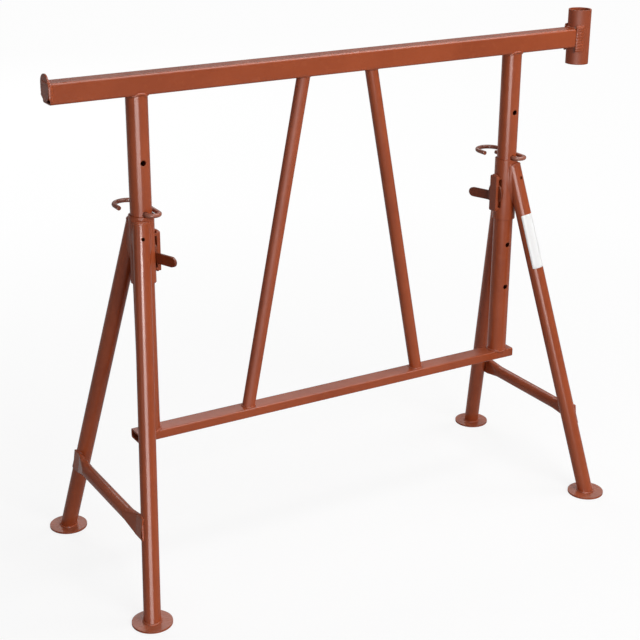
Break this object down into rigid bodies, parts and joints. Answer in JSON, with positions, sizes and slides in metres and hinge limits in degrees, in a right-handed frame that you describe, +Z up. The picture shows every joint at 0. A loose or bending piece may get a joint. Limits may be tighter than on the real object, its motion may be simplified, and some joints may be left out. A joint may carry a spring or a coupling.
{
  "type": "builders trestle",
  "caption": "Steel builders trestle: a braced tube frame with a square top beam, held on splayed two-leg stands by pull-out locking pins and clamp wedges.",
  "frame": {"origin": "on the ground under the middle of the whole trestle", "axes": "+X along the beam towards the guardrail socket, +Z up, +Y across the trestle, away from the pins' pulled side"},
  "size_m": [1.257, 0.523, 1.062],
  "materials": {
    "top_beam": "glossy red-brown oxide paint",
    "end_stop_plate": "glossy red-brown oxide paint",
    "guardrail_socket": "glossy red-brown oxide paint",
    "left_post": "glossy red-brown oxide paint",
    "right_post": "glossy red-brown oxide paint",
    "left_brace": "glossy red-brown oxide paint",
    "right_brace": "glossy red-brown oxide paint",
    "crossbar": "glossy red-brown oxide paint",
    "left_sleeve": "glossy red-brown oxide paint",
    "left_front_leg": "glossy red-brown oxide paint",
    "left_back_leg": "glossy red-brown oxide paint",
    "left_front_foot": "glossy red-brown oxide paint",
    "left_back_foot": "glossy red-brown oxide paint",
    "left_leg_tie": "glossy red-brown oxide paint",
    "left_clamp_bar": "glossy red-brown oxide paint",
    "left_clamp_wedge": "glossy red-brown oxide paint",
    "left_locking_pin": "glossy red-brown oxide paint",
    "right_sleeve": "glossy red-brown oxide paint",
    "right_front_leg": "glossy red-brown oxide paint",
    "right_back_leg": "glossy red-brown oxide paint",
    "right_front_foot": "glossy red-brown oxide paint",
    "right_back_foot": "glossy red-brown oxide paint",
    "right_leg_tie": "glossy red-brown oxide paint",
    "right_clamp_bar": "glossy red-brown oxide paint",
    "right_clamp_wedge": "glossy red-brown oxide paint",
    "right_locking_pin": "glossy red-brown oxide paint"
  },
  "bodies": {
    "frame": {"top_beam": "top_beam", "end_stop_plate": "end_stop_plate", "guardrail_socket": "guardrail_socket", "left_post": "left_post", "right_post": "right_post", "left_brace": "left_brace", "right_brace": "right_brace", "crossbar": "crossbar"},
    "left_stand": {"left_sleeve": "left_sleeve", "left_front_leg": "left_front_leg", "left_back_leg": "left_back_leg", "left_front_foot": "left_front_foot", "left_back_foot": "left_back_foot", "left_leg_tie": "left_leg_tie", "left_clamp_bar": "left_clamp_bar"},
    "right_stand": {"right_sleeve": "right_sleeve", "right_front_leg": "right_front_leg", "right_back_leg": "right_back_leg", "right_front_foot": "right_front_foot", "right_back_foot": "right_back_foot", "right_leg_tie": "right_leg_tie", "right_clamp_bar": "right_clamp_bar"},
    "left_wedge": {"left_clamp_wedge": "left_clamp_wedge"},
    "right_wedge": {"right_clamp_wedge": "right_clamp_wedge"},
    "left_pin": {"left_locking_pin": "left_locking_pin"},
    "right_pin": {"right_locking_pin": "right_locking_pin"}
  },
  "joints": [
    {"name": "left_height", "type": "slide", "parent": "left_stand", "child": "frame", "axis": [0, 0, 1], "range_m": [0, 0.3]},
    {"name": "right_height", "type": "slide", "parent": "frame", "child": "right_stand", "axis": [0, 0, -1], "range_m": [0, 0.3]},
    {"name": "left_pin_pull", "type": "slide", "parent": "frame", "child": "left_pin", "axis": [0, -1, 0], "range_m": [0, 0.062]},
    {"name": "right_pin_pull", "type": "slide", "parent": "frame", "child": "right_pin", "axis": [0, -1, 0], "range_m": [0, 0.062]},
    {"name": "left_wedge_slide", "type": "slide", "parent": "left_stand", "child": "left_wedge", "axis": [0, -1, 0], "range_m": [0, 0.014]},
    {"name": "right_wedge_slide", "type": "slide", "parent": "right_stand", "child": "right_wedge", "axis": [0, 1, 0], "range_m": [-0.012, 0.002]}
  ]
}
